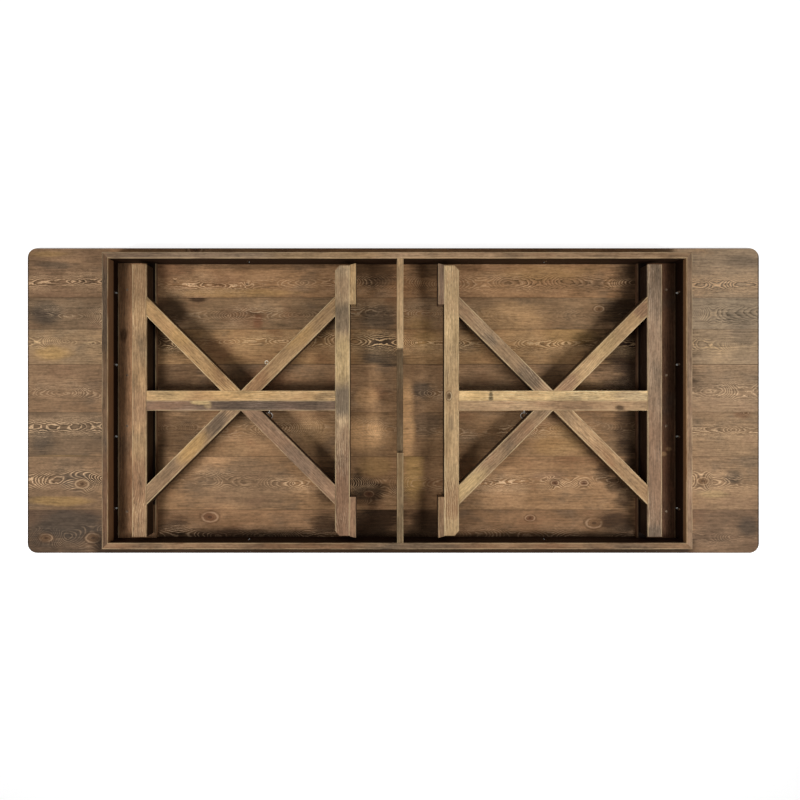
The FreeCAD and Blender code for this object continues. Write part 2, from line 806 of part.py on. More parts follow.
def leg_pieces():
    """The pieces of one leg frame and its stay, as they are on the left."""
    pieces = {"hinge_rail": hinge_rail(), "foot_rail": foot_rail()}
    for side, side_name in ((-1, "front"), (1, "back")):
        pieces[f"{side_name}_stave"] = stave(side)
        pieces[f"{side_name}_foot_pad"] = foot_pad(side)
        for end_side, end_name in ((-1, "hinge"), (1, "foot")):
            pieces[f"{side_name}_{end_name}_brace"] = brace(end_side, side)
    pieces["hinge_moving_leaves"] = Part.makeCompound(moving_leaves())
    pieces["leg_hardware_screws"] = Part.makeCompound(leg_side_screws(0))
    pieces["leg_bracket"] = leg_bracket()
    pieces["leg_link"] = leg_link()
    pieces["table_link"] = table_link()
    pieces["knee_bolt"] = knee_bolt()
    pieces["pull_ring"] = pull_ring()
    return pieces


def all_pieces():
    """Every piece by its name."""
    pieces = table_pieces()
    for name, shape in leg_pieces().items():
        pieces[f"left_{name}"] = shape
        pieces[f"right_{name}"] = mirrored(shape)
    eye, eye_hole = screw_eye()
    pieces["left_screw_eye"] = eye
    pieces["left_back_foot_brace"] = pieces["left_back_foot_brace"].cut(eye_hole)
    return pieces


os.makedirs("parts", exist_ok=True)
for piece_name, piece_shape in all_pieces().items():
    piece_shape.exportStep(f"parts/{piece_name}.step")
    print(piece_name, len(piece_shape.Solids), piece_shape.isValid(), round(piece_shape.Volume))
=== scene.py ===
import bpy
import math
import numpy as np
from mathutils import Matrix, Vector


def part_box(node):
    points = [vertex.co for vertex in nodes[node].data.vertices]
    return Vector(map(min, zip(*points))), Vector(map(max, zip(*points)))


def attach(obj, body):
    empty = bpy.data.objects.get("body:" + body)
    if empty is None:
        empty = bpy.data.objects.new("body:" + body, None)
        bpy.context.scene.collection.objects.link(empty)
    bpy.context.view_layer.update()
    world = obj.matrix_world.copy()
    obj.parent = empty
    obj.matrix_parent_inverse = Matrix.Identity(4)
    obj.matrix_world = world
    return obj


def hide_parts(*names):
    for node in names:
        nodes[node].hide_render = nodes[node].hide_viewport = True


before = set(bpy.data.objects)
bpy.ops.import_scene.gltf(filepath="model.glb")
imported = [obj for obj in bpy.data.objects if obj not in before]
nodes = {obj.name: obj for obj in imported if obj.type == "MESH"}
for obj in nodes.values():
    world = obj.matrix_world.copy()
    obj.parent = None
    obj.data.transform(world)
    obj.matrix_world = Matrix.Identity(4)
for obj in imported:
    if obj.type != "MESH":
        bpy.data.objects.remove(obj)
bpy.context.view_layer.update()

# The camera hangs over the table. Its place is in metres, and its focus, its square picture's size and
# the point straight under it in that picture are in pixels. Marks on the wood are given by where they
# show in this picture and by the height of their face over the floor, and their reach is measured in
# pixels as wide as on the floor.
camera_place = (-0.0277, 0.0019, 2.2084)
camera_focus = 655.5
picture_size = 800
picture_middle = (385.0, 400.0)
floor_pixel = camera_place[2] / camera_focus
# The heights of the faces that show: the top's inner face, and those of the hinge boards, the folded leg
# frames and the aprons
panel_level = 0.025
board_level = 0.042
leg_level = 0.1024
apron_level = 0.121

# The turn of a member's grain from the table's length, for a member across it and for a brace
across_turn = math.pi / 2
diagonal = math.pi / 4


def spot(across, down, level):
    """Where a place in the picture lies on a level: the camera's ray through it, followed down."""
    pixel = (camera_place[2] - level) / camera_focus
    x = camera_place[0] + (across - picture_middle[0]) * pixel
    return x, camera_place[1] - (down - picture_middle[1]) * pixel


def turned_spot(x, y, turn):
    """A place on the ground in a member's own directions, along its grain and across it."""
    return x * math.cos(turn) + y * math.sin(turn), y * math.cos(turn) - x * math.sin(turn)


def paint(red, green, blue):
    """A colour from its screen values, 0 to 255, as the light that it sends back by the sRGB curve."""
    share = [value / 255 for value in (red, green, blue)]
    light = [value / 12.92 if value < 0.04045 else ((value + 0.055) / 1.055) ** 2.4 for value in share]
    return (*light, 1.0)


def tones(red, green, blue):
    """The four tones of a stained board from the middle one: hollow, middle, raised and hard line."""
    share = paint(red, green, blue)
    lifts = ((0.50, 0.43, 0.36), (0.95, 0.92, 0.86), (1.40, 1.37, 1.30), (2.15, 2.45, 2.75))
    return [tuple(min(0.9, value * lift) for value, lift in zip(share, row)) + (1.0,) for row in lifts]


# Stains of patches and knots. The darkest one also serves as painted shadow in many patches, and honey
# and amber also serve as painted light in some.
gold = paint(182, 144, 88)
straw = paint(200, 170, 120)
honey = paint(186, 146, 102)
amber = paint(214, 166, 116)
umber = paint(130, 99, 76)
sand = paint(180, 160, 134)
dun = paint(114, 101, 88)
ash = paint(92, 82, 70)
slate = paint(70, 62, 54)
# The darkest stain: dark knots, ends and small marks, and painted shadow in most of the darkest patches
dark_stain_and_shadow = paint(41, 25, 14)
russet = paint(108, 68, 46)
tan_knot = paint(128, 94, 64)

# Tones of knots, of dark lines at seams and edges, of painted shade, of painted shade and light on sides,
# and of pale arrises
knot_ring = paint(58, 38, 25)
knot_heart = paint(46, 30, 20)
knot_rim = paint(52, 34, 22)
# Dark lines at the seams between boards and at the top's front and back edges
seam_darkening = paint(34, 23, 15)
deep_shade = paint(22, 12, 6)
# Painted shade on the lower part of a side face or inner wall
painted_wall_shade = paint(26, 10, 3)
# Painted light on the lit top of an inner wall
painted_wall_light = paint(150, 108, 72)
# Pale arrises: wear, with a painted highlight
worn_and_highlit_wood = paint(208, 182, 140)

# Dark ends, painted shade on sides and pale arrises: how far from their line they have faded out, and how
# far off it they keep their full strength, in metres. The painted shade on a side fades out at its top over
# the last length.
end_widths = (0.008, 0.002)
side_widths = (0.0035, 0.001)
arris_widths = (0.0042, 0.001)
wall_shade_fade = 0.007


class Amount:
    """A number that varies over a surface: a node's output, with sums that add further nodes."""

    def __init__(self, tree, socket):
        self.tree = tree
        self.socket = socket

    def sum(self, operation, *others):
        """One Math node on this number and others."""
        node = self.tree.nodes.new("ShaderNodeMath")
        node.operation = operation
        for slot, value in zip(node.inputs, (self, *others)):
            feed(slot, value)
        return Amount(self.tree, node.outputs[0])

    def __add__(self, other):
        return self.sum("ADD", other)

    def __sub__(self, other):
        return self.sum("SUBTRACT", other)

    def __mul__(self, other):
        return self.sum("MULTIPLY", other)

    def __truediv__(self, other):
        return self.sum("DIVIDE", other)

    def most(self, other):
        return self.sum("MAXIMUM", other)

    def size(self):
        return self.sum("ABSOLUTE")

    def root(self):
        return self.sum("SQRT")

    def rest(self):
        """What is over the last whole number."""
        return self.sum("FRACT")

    def ease(self, low, high, start=0.0, end=1.0):
        """A soft step from start at low to end at high, where low may be the greater of the two."""
        node = self.tree.nodes.new("ShaderNodeMapRange")
        node.interpolation_type = "SMOOTHSTEP"
        for slot, value in zip(node.inputs, (self, low, high, start, end)):
            feed(slot, value)
        return Amount(self.tree, node.outputs[0])

    def near(self, value, far, close):
        """1 within close of a value, and 0 from far off it."""
        return (self - value).size().ease(far, close)

    def between(self, low, high, fade):
        """1 between low and high and 0 outside, with a soft step of fade to each side of both."""
        return self.ease(low - fade, low + fade) * self.ease(high + fade, high - fade)


def feed(slot, value):
    """Joins a socket to an amount or another socket, or sets it."""
    if isinstance(value, Amount):
        value.tree.links.new(value.socket, slot)
    elif isinstance(value, bpy.types.NodeSocket):
        value.id_data.links.new(value, slot)
    else:
        slot.default_value = value


def blank(name):
    """A new material, its tree of nodes and its surface shader."""
    material = bpy.data.materials.new(name)
    material.use_nodes = True
    return material, material.node_tree, material.node_tree.nodes["Principled BSDF"]


def place(tree, turn=0.0):
    """The place on the piece, turned about the upright."""
    coordinates = tree.nodes.new("ShaderNodeTexCoord")
    mapping = tree.nodes.new("ShaderNodeMapping")
    feed(mapping.inputs["Vector"], coordinates.outputs["Object"])
    mapping.inputs["Rotation"].default_value = (0, 0, -turn)
    return mapping.outputs["Vector"]


def axes(tree, vector):
    """The three numbers of a place."""
    split = tree.nodes.new("ShaderNodeSeparateXYZ")
    feed(split.inputs[0], vector)
    return [Amount(tree, output) for output in split.outputs]


def cloud(tree, vector, scale, shift, detail=2.0, rough=0.5):
    """Smooth noise about 0.5, with its own scale on each axis and taken from its own place by a shift."""
    mapping = tree.nodes.new("ShaderNodeMapping")
    feed(mapping.inputs["Vector"], vector)
    mapping.inputs["Location"].default_value = (shift, shift * 1.7, shift * 0.6)
    mapping.inputs["Scale"].default_value = scale
    noise = tree.nodes.new("ShaderNodeTexNoise")
    feed(noise.inputs["Vector"], mapping.outputs["Vector"])
    noise.inputs["Scale"].default_value = 1.0
    noise.inputs["Detail"].default_value = detail
    noise.inputs["Roughness"].default_value = rough
    return Amount(tree, noise.outputs["Fac"])


# The Mix node's sockets where it mixes colours
mix_share, mix_first, mix_second, mix_result = 0, 6, 7, 2


def mixed(tree, share, first, second, blend="MIX"):
    """One colour laid over another by a share."""
    node = tree.nodes.new("ShaderNodeMix")
    node.data_type = "RGBA"
    node.blend_type = blend
    node.clamp_factor = True
    feed(node.inputs[mix_share], share)
    feed(node.inputs[mix_first], first)
    feed(node.inputs[mix_second], second)
    return node.outputs[mix_result]


def raised(tree, shader, height, strength, distance):
    """Gives a surface's light the bumps of a height."""
    bump = tree.nodes.new("ShaderNodeBump")
    bump.inputs["Strength"].default_value = strength
    bump.inputs["Distance"].default_value = distance
    feed(bump.inputs["Height"], height)
    feed(shader.inputs["Normal"], bump.outputs["Normal"])


class Wood:
    """A piece of pine while its finish is made: the place on it along the grain (u), across the grain (v)
    and upright (w), its clouds, and its colour so far."""

    def __init__(self, tree, seed, turn, level, colour):
        self.tree = tree
        self.seed = seed
        self.turn = turn
        self.level = level
        self.colour = colour
        self.grain = place(tree, turn)
        self.u, self.v, self.w = axes(tree, self.grain)
        # How the pith wanders, and how the rings waver about it
        self.drift = self.noise((1.7, 0.3, 0.3), 0.0, 1.0)
        self.plunge = self.noise((1.9, 0.4, 0.4), 3.1, 2.0, 0.6)
        self.sway = self.noise((0.8, 7.0, 7.0), 7.7, 1.0)
        self.ripple = self.noise((10.0, 3.0, 3.0), 8.4, 1.0)
        self.quiver = self.noise((19.0, 34.0, 34.0), 5.3, 1.0)
        self.jag = self.noise((85.0, 150.0, 150.0), 9.2, 2.0, 0.6)
        # Streaks along the grain, from fine to broad
        self.fibre = self.noise((25.0, 620.0, 620.0), 1.3, 3.0, 0.65)
        self.strand = self.noise((13.0, 210.0, 210.0), 2.9, 3.0, 0.65)
        self.band = self.noise((1.5, 16.0, 16.0), 4.1, 3.0, 0.55)
        # Where the stain took well, where it turned red or grey, and where the rings show at all
        self.blot = self.noise((6.0, 13.0, 13.0), 6.7, 4.0, 0.62)
        self.haze = self.noise((7.0, 11.0, 11.0), 12.5, 3.0, 0.6)
        self.presence = self.noise((3.1, 6.0, 6.0), 14.2).ease(0.40, 0.60, 0.3, 1.15)

    def noise(self, scale, shift, detail=2.0, rough=0.5):
        """A cloud at the piece's seed, by scales along the grain, across it and upright, per metre."""
        return cloud(self.tree, self.grain, scale, self.seed + shift, detail, rough)

    def lay(self, share, stain):
        """Lays a stain over the colour so far."""
        self.colour = mixed(self.tree, share, self.colour, stain)

    def mark(self, across, down):
        """A place in the picture as places along the grain and across it."""
        return turned_spot(*spot(across, down, self.level), self.turn)

    def patch(self, across, down, reach_across, reach_down, wander):
        """1 in the middle of an oval in the picture and 0 outside it, with its rim moved by a cloud."""
        middle_u, middle_v = self.mark(across, down)
        if self.turn == across_turn:
            reach_across, reach_down = reach_down, reach_across
        u = (self.u - middle_u) / (reach_across * floor_pixel)
        v = (self.v - middle_v) / (reach_down * floor_pixel)
        return ((u * u + v * v).root() + wander).ease(1.2, 0.45)

    def knot_span(self, across, down, size):
        """How far a place is from a knot, in knot sizes and with a ragged rim. Knots are longer along the
        grain."""
        knot_u, knot_v = self.mark(across, down)
        du = self.u - knot_u
        dv = self.v - knot_v
        return (du * du * 0.4 + dv * dv).root() / size + (self.jag - 0.5) * 0.35


def rings(wood, pith, depth, ring, dive, knots):
    """The rings of the wood, about a pith that wanders aside and dives under the face. A ring's number is
    the distance from the pith over the ring's width, and knots push the rings away. Returns the hard edge
    and the soft hollow of each ring, 0 to 1, and how clear the figure is: it is clearest over the pith."""
    wander_aside, ripple_aside = 0.045, 0.012
    knot_reach, knot_push = 3.6, 1.5
    off = wood.v - pith + (wood.drift - 0.5) * wander_aside + (wood.ripple - 0.5) * ripple_aside
    dip = (wood.plunge - 0.5).size() * (dive * 4) + (wood.ripple - 0.5) * (dive * 0.4)
    deep = dip + (wood.w - wood.level) + depth
    distance = (off * off + deep * deep).root()
    for span, size, _ in knots:
        distance = distance + span.ease(knot_reach, 0.2) * (size * knot_push)
    number = distance / ring + (wood.quiver - 0.5) * 1.6 + (wood.jag - 0.5) + wood.sway * 3.0
    part = number.rest()
    hard_edge = part.ease(0.54, 0.86) * part.ease(1.0, 0.92)
    hollow = part.ease(0.15, 0.45) * part.ease(0.72, 0.5)
    return hard_edge, hollow, off.size().ease(0.05, 0.012, 0.25, 1.0)


def lay_knot(wood, span, stain, halo):
    """A knot: its stain, its own fine rings, a dark heart, a dark rim, and a pale halo inside the rim."""
    wood.lay(span.ease(1.7, 0.4) * 0.6, stain)
    own_rings = (span * 3.5 + wood.quiver * 2.0).rest().ease(0.25, 0.9)
    wood.lay(own_rings * span.ease(1.2, 0.7) * 0.3, knot_ring)
    wood.lay(span.ease(0.5, 0.1) * 0.6, knot_heart)
    wood.lay(span.near(1.32, 0.24, 0.0) * wood.strand.ease(0.35, 0.6) * 0.5, knot_rim)
    wood.lay(span.near(0.98, 0.22, 0.03) * wood.blot.ease(0.35, 0.55) * 0.55, halo)


def wear(node, material):
    """Gives a node of the model its finish, on all of its faces."""
    mesh = nodes[node].data
    mesh.materials.clear()
    mesh.materials.append(material)
    mesh.polygons.foreach_set("material_index", [0] * len(mesh.polygons))


def pine(node, seed, tone, turn=0.0, level=panel_level, pith=0.0, depth=0.012, ring=0.0027, dive=0.055,
         lines=0.55, streak=0.6, mottle=0.6, patches=(), knots=(), calm=(), seams=(), ends=(), shades=(),
         walls=(), arrises=(), arris_wear_and_highlight=0.5):
    """Gives a node a finish of stained, brushed pine. Lengths are in metres, and places and reaches in the
    picture are in pixels.

    seed: where its clouds are taken from, so that no two pieces match
    tone: its middle tone
    turn, level: the turn of its grain and the height of its upper face
    pith, depth, ring, dive: the line over the pith, how deep the pith is, a ring's width, how far it dives
    lines, streak, mottle: how strongly the hard lines, the streaks and the haze show
    patches: place and reach in the picture, stain and strength; some are painted shadow, some painted light
    knots: place in the picture, size and stain
    calm: where the hard lines fade, as place and reach in the picture and strength
    seams: dark lines along the grain, as place across it, strength and width
    ends: dark ends, as places along the grain
    shades: darkened stretches, mostly painted shade, as from and to along the grain, from and to across it,
    fade and strength
    walls: sides darkened by painted shade below a top, as place across the grain, top's height, strength, and
    the strength of the painted light on the lit top
    arrises and their strength: pale edges of wear and painted highlight, as place across the grain and height"""
    material, tree, shader = blank(node.replace("_", " ") + " pine")
    dark, middle, pale, hard = tones(*tone)
    wood = Wood(tree, seed, turn, level, dark)
    knots = [(wood.knot_span(across, down, size), size, stain) for across, down, size, stain in knots]
    hard_edge, hollow, figure = rings(wood, pith, depth, ring, dive, knots)

    # The stain, thin or thick, reddish or grey, and its patches, some of them painted shadow and some painted
    # light
    wood.lay(wood.band.ease(0.2, 0.6, 0.45, 1.0), middle)
    wood.lay(wood.blot.ease(0.42, 0.70) * 0.7, pale)
    wood.lay(wood.haze.ease(0.5, 0.72) * 0.35, russet)
    wood.lay(wood.haze.ease(0.48, 0.28) * 0.35, ash)
    ragged = (wood.blot - 0.5) * 1.3 + (wood.strand - 0.5) * 0.5
    for *oval, stain, strength in patches:
        wood.lay(wood.patch(*oval, ragged) * strength, stain)

    # The pale hard lines, where they show
    shown = wood.blot.ease(0.36, 0.62, 0.12, 1.0) * wood.presence * figure * (lines * 2.4)
    for *oval, strength in calm:
        shown = shown * (wood.patch(*oval, wood.blot - 0.5) * -strength + 1.0)
    wood.lay(hard_edge * shown, hard)

    # Streaks, haze and the rings' hollows, which all darken or lighten what is there
    shade = (wood.fibre - 0.5) * (streak * 1.2) + (wood.strand - 0.5) * (streak * 2.3)
    shade = shade + (wood.jag - 0.5) * (streak * 1.5) + (wood.haze - 0.5) * mottle
    shade = shade - hollow * wood.presence * figure * (lines * 0.62) + 1.05
    grey = tree.nodes.new("ShaderNodeCombineColor")
    for slot in grey.inputs[:3]:
        feed(slot, shade)
    wood.colour = mixed(tree, 1.0, wood.colour, grey.outputs["Color"], "MULTIPLY")

    # Single marks: knots, dark ends, painted shade, seams, painted shade and light on sides, and pale arrises
    for span, _, stain in knots:
        lay_knot(wood, span, stain, hard)
    for end in ends:
        wood.lay(wood.u.near(end, *end_widths) * 0.85, dark_stain_and_shadow)
    # Darkened stretches, mostly painted shade
    for low_u, high_u, low_v, high_v, fade, strength in shades:
        inside = wood.u.between(low_u, high_u, fade) * wood.v.between(low_v, high_v, fade)
        wood.lay(inside * strength, deep_shade)
    for seam, strength, width in seams:
        line = wood.v.near(seam, width, width * 0.2)
        wood.lay(line * (wood.band.ease(0.3, 0.6, 0.4, 1.0) * strength), seam_darkening)
    # Painted shade on each side below its top, and painted light on its lit top
    for wall, top, strength, wall_light in walls:
        side_face = wood.v.near(wall, *side_widths)
        wood.lay(side_face * wood.w.ease(top, top - wall_shade_fade) * strength, painted_wall_shade)
        if wall_light:
            wood.lay(side_face * wood.w.ease(top - wall_shade_fade, top) * wall_light, painted_wall_light)
    # Pale arrises: wear, with a painted highlight
    for edge_v, edge_w in arrises:
        gap = (wood.v - edge_v).size().most((wood.w - edge_w).size())
        wood.lay(gap.ease(*arris_widths) * wood.strand.ease(0.32, 0.58) * arris_wear_and_highlight, worn_and_highlit_wood)

    feed(shader.inputs["Base Color"], wood.colour)
    feed(shader.inputs["Roughness"], (wood.fibre - 0.5) * 0.25 - hard_edge * 0.08 + 0.62)
    shader.inputs["Specular IOR Level"].default_value = 0.07
    raised(tree, shader, hard_edge * 0.6 + wood.fibre + wood.strand, 0.5, 0.0007)
    wear(node, material)


# How dark the top's front edge, the six seams between its boards and its back edge are
seam_strengths = [0.7, 0.4, 0.4, 0.35, 0.62, 0.4, 0.5, 0.7]
seam_width = 0.0024
# The seven boards of the top, from the front: the picture height of the line over the pith, the
# middle tone, how strongly the hard lines show, patches and knots. A patch is its place in the picture, its
# reach across and down, its stain and its strength, and a knot is its place, size and stain. Some patches
# are painted shadow and some painted light, as noted at each board.
top_board_looks = {
    # Board 1: its darkest patches, along the front apron and in the corners there, are painted shadow
    1: (537, (132, 101, 74), 0.34,
        [(68, 527, 40, 17, slate, 0.6), (250, 537, 130, 10, dark_stain_and_shadow, 0.75), (560, 538, 110, 7, dark_stain_and_shadow, 0.5),
         (374, 520, 34, 30, dark_stain_and_shadow, 0.9), (425, 528, 20, 22, dark_stain_and_shadow, 0.75), (748, 528, 12, 12, slate, 0.7),
         (176, 527, 18, 11, dark_stain_and_shadow, 0.8), (326, 525, 18, 12, dark_stain_and_shadow, 0.75), (618, 525, 22, 13, dark_stain_and_shadow, 0.8)],
        [(46, 538, 0.013, tan_knot), (93, 538, 0.015, tan_knot), (530, 518, 0.010, russet),
         (594, 523, 0.016, tan_knot), (210, 517, 0.016, russet)]),
    # Board 2: the darkest patches beside the left foot rail and by the right front hinge brace are painted
    # shadow; the small pair at 555 and 585 darken knots
    2: (482, (146, 113, 82), 0.56,
        [(60, 501, 36, 5, gold, 0.5), (80, 481, 22, 12, ash, 0.5), (413, 472, 13, 30, gold, 0.7),
         (555, 483, 5, 4, dark_stain_and_shadow, 0.55), (585, 483, 5, 4, dark_stain_and_shadow, 0.55), (547, 476, 18, 5, umber, 0.5),
         (604, 473, 11, 10, dark_stain_and_shadow, 0.75), (614, 485, 11, 10, dark_stain_and_shadow, 0.75), (625, 498, 12, 12, dark_stain_and_shadow, 0.75),
         (630, 463, 14, 10, dark_stain_and_shadow, 0.8), (357, 484, 7, 18, dark_stain_and_shadow, 0.8), (96, 480, 10, 18, dark_stain_and_shadow, 0.5),
         (370, 492, 16, 14, dark_stain_and_shadow, 0.8), (330, 485, 18, 18, dark_stain_and_shadow, 0.7), (733, 477, 10, 8, slate, 0.7),
         (712, 494, 18, 5, straw, 0.4), (376, 465, 20, 12, gold, 0.3), (240, 488, 62, 30, ash, 0.36)],
        [(555, 483, 0.008, russet), (584, 483, 0.009, russet),
         (369, 494, 0.010, russet), (703, 481, 0.012, tan_knot), (82, 484, 0.014, tan_knot)]),
    # Board 3: the darkest patches at 332 and near 630 are painted shadow of the leg frames, and the amber
    # strip at 407 is painted light beside the centre rail
    3: (429, (142, 111, 81), 0.5,
        [(41, 439, 14, 15, slate, 0.7), (70, 459, 40, 4, gold, 0.5), (424, 424, 20, 16, slate, 0.45),
         (368, 434, 24, 20, amber, 0.7), (624, 448, 14, 10, dark_stain_and_shadow, 0.7), (562, 440, 34, 20, gold, 0.25),
         (180, 434, 28, 26, dark_stain_and_shadow, 0.42), (332, 466, 10, 8, dark_stain_and_shadow, 0.5), (312, 430, 20, 14, honey, 0.5),
         (632, 430, 18, 30, dark_stain_and_shadow, 0.75),
         (407, 430, 9, 36, amber, 0.85), (742, 414, 10, 5, russet, 0.5)],
        [(746, 413, 0.005, tan_knot)]),
    # Board 4: the darkest patch at 642 and the faint one at 240 are painted shadow, and the honey patch at
    # 590 and the amber strip at 407 are painted light
    4: (394, (142, 111, 82), 0.4,
        [(421, 390, 14, 10, slate, 0.75), (492, 374, 34, 16, dark_stain_and_shadow, 0.4),
         (642, 374, 54, 44, dark_stain_and_shadow, 1.0), (172, 378, 34, 18, dark_stain_and_shadow, 0.5), (374, 392, 20, 8, russet, 0.35),
         (386, 362, 12, 7, slate, 0.8), (407, 404, 8, 28, amber, 0.8), (240, 372, 18, 14, dark_stain_and_shadow, 0.15),
         (590, 385, 16, 9, honey, 0.6), (366, 398, 12, 14, amber, 0.5),
         (268, 376, 24, 12, russet, 0.4)],
        []),
    # Board 5: the darkest patch at 634 is painted shadow, and the honey patch at 514 is painted light
    5: (343, (150, 117, 82), 0.58,
        [(52, 353, 22, 8, gold, 0.65), (384, 348, 24, 26, slate, 0.8), (634, 347, 58, 44, dark_stain_and_shadow, 1.0),
         (172, 345, 26, 18, dark_stain_and_shadow, 0.5), (425, 340, 16, 12, gold, 0.3), (743, 335, 12, 10, ash, 0.4),
         (570, 336, 30, 10, gold, 0.3), (220, 345, 20, 12, russet, 0.35), (514, 338, 34, 12, honey, 0.5)],
        []),
    # Board 6: the darkest patch at 638 is painted shadow, and the honey patch at 506 is painted light
    6: (314, (133, 106, 79), 0.65,
        [(47, 311, 19, 14, slate, 0.75), (380, 318, 18, 16, slate, 0.6), (738, 322, 14, 10, ash, 0.45),
         (638, 312, 42, 26, dark_stain_and_shadow, 0.92), (170, 312, 18, 14, dark_stain_and_shadow, 0.6), (420, 322, 18, 10, gold, 0.3),
         (245, 316, 26, 12, russet, 0.3), (198, 299.5, 9, 3, dark_stain_and_shadow, 0.8), (258, 321, 5, 8, russet, 0.6),
         (506, 318, 40, 16, honey, 0.6)],
        [(599, 309, 0.010, tan_knot)]),
    # Board 7: the darkest patches at 638 and 255 are painted shadow of the right hinge rail and the back
    # apron
    7: (284, (150, 115, 83), 0.75,
        [(58, 265, 24, 5, slate, 0.7), (50, 254, 22, 4, gold, 0.4), (372, 272, 26, 12, dark_stain_and_shadow, 0.6),
         (255, 264, 110, 6, dark_stain_and_shadow, 0.5), (178, 292, 14, 8, dark_stain_and_shadow, 0.4),
         (428, 268, 24, 10, dark_stain_and_shadow, 0.6), (385, 296, 14, 8, ash, 0.4), (230, 293, 70, 5, gold, 0.35),
         (540, 272, 60, 8, gold, 0.25), (638, 285, 28, 30, dark_stain_and_shadow, 0.85), (740, 262, 18, 8, ash, 0.5),
         (170, 270, 26, 10, russet, 0.45), (500, 268, 40, 6, russet, 0.3)],
        [(195, 249.5, 0.014, russet), (175, 281, 0.0035, dark_stain_and_shadow), (247, 284, 0.0035, dark_stain_and_shadow)]),
}
# The boards past the end aprons: left stain and strength, right stain and strength, and in the picture
# the middle of each end and how far the stain reaches
end_bleaching = {1: (slate, 0.6, dun, 0.35), 2: (ash, 0.4, sand, 0.2), 3: (ash, 0.52, sand, 0.2),
                 4: (dun, 0.2, sand, 0.3), 5: (sand, 0.25, sand, 0.5), 6: (dun, 0.22, sand, 0.62),
                 7: (dun, 0.3, sand, 0.58)}
left_end, right_end, end_reach = 50, 742, 90
# How far the hard lines fade on some boards under the right leg frame, and where across the picture
calm_strengths = {5: 0.5, 6: 0.8, 7: 0.5}
calm_middle, calm_reach_across, calm_reach_down = 555, 110, 40
# The shade of the front apron on the foremost board, as one of pine's shades. It goes out past the edge.
front_shade = (-1.0, 1.0, -0.6, -0.452, 0.025, 0.85)
for number, (line, tone, lines, patches, knots) in top_board_looks.items():
    board = f"top_board_{number}"
    board_low, board_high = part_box(board)
    left_stain, left_strength, right_stain, right_strength = end_bleaching[number]
    bleaching = [(left_end, line, end_reach, end_reach, left_stain, left_strength),
                 (right_end, line, end_reach, end_reach, right_stain, right_strength)]
    calm = []
    if number in calm_strengths:
        calm = [(calm_middle, line, calm_reach_across, calm_reach_down, calm_strengths[number])]
    seams = [(board_low.y, seam_strengths[number - 1], seam_width),
             (board_high.y, seam_strengths[number], seam_width)]
    pine(board, number * 3.7, tone, pith=spot(0, line, panel_level)[1], lines=lines,
         patches=bleaching + patches, knots=knots, calm=calm, seams=seams,
         ends=(board_low.x, board_high.x), shades=[front_shade] if number == 1 else [])


def edge_pairs(node, turn, level):
    """The two long upper arrises of a straight member: how far across its grain and how high each lies."""
    low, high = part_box(node)
    if turn == across_turn:
        return [(-high.x, level), (-low.x, level)]
    return [(low.y, level), (high.y, level)]


# Each apron's turn, tone, inner side (0 low, 1 high), how high the painted shade on its inner wall reaches,
# how strong the painted light on the wall's lit top is, and its patches. The centre rail has no painted wall
# shade.
apron_looks = {
    "front_apron": (0.0, (132, 104, 79), 1, 0.118, 0,
                    [(410, 547, 60, 6, ash, 0.5), (300, 547, 60, 8, russet, 0.3)]),
    "back_apron": (0.0, (155, 127, 100), 0, 0.118, 0,
                   [(128, 256, 24, 7, dark_stain_and_shadow, 0.35), (230, 256, 130, 8, dun, 0.45),
                    (330, 256, 60, 6, gold, 0.2)]),
    "left_end_apron": (across_turn, (97, 76, 58), 0, 0.082, 0.6,
                       [(104, 300, 24, 45, slate, 0.5), (104, 500, 24, 50, russet, 0.25)]),
    "right_end_apron": (across_turn, (138, 113, 91), 1, 0.103, 0.9, [(688, 350, 24, 40, ash, 0.3)]),
    "centre_rail": (across_turn, (186, 156, 120), None, 0, 0, [(400, 470, 30, 20, gold, 0.3)]),
}
# The centre rail's notch and the stretch from it to its near end are darkened, as pine's shades. They go
# out past the rail's end and sides.
notch_end = 0.1665
rail_shades = [(-notch_end, notch_end, -0.1, 0.1, 0.003, 0.76), (-0.6, -notch_end, -0.1, 0.1, 0.003, 0.66)]
# How dark the painted shade on the aprons' inner walls is
apron_wall_shade = 0.975
for index, (node, (turn, tone, inner, wall_top, wall_light, patches)) in enumerate(apron_looks.items()):
    arrises = edge_pairs(node, turn, apron_level)
    walls = [] if inner is None else [(arrises[inner][0], wall_top, apron_wall_shade, wall_light)]
    pine(node, 31.0 + index * 2.3, tone, turn, apron_level, pith=1.1, depth=0.2, dive=0.02, ring=0.0045,
         lines=0.4, mottle=0.9, patches=patches, walls=walls, arrises=arrises,
         shades=rail_shades if node == "centre_rail" else ())

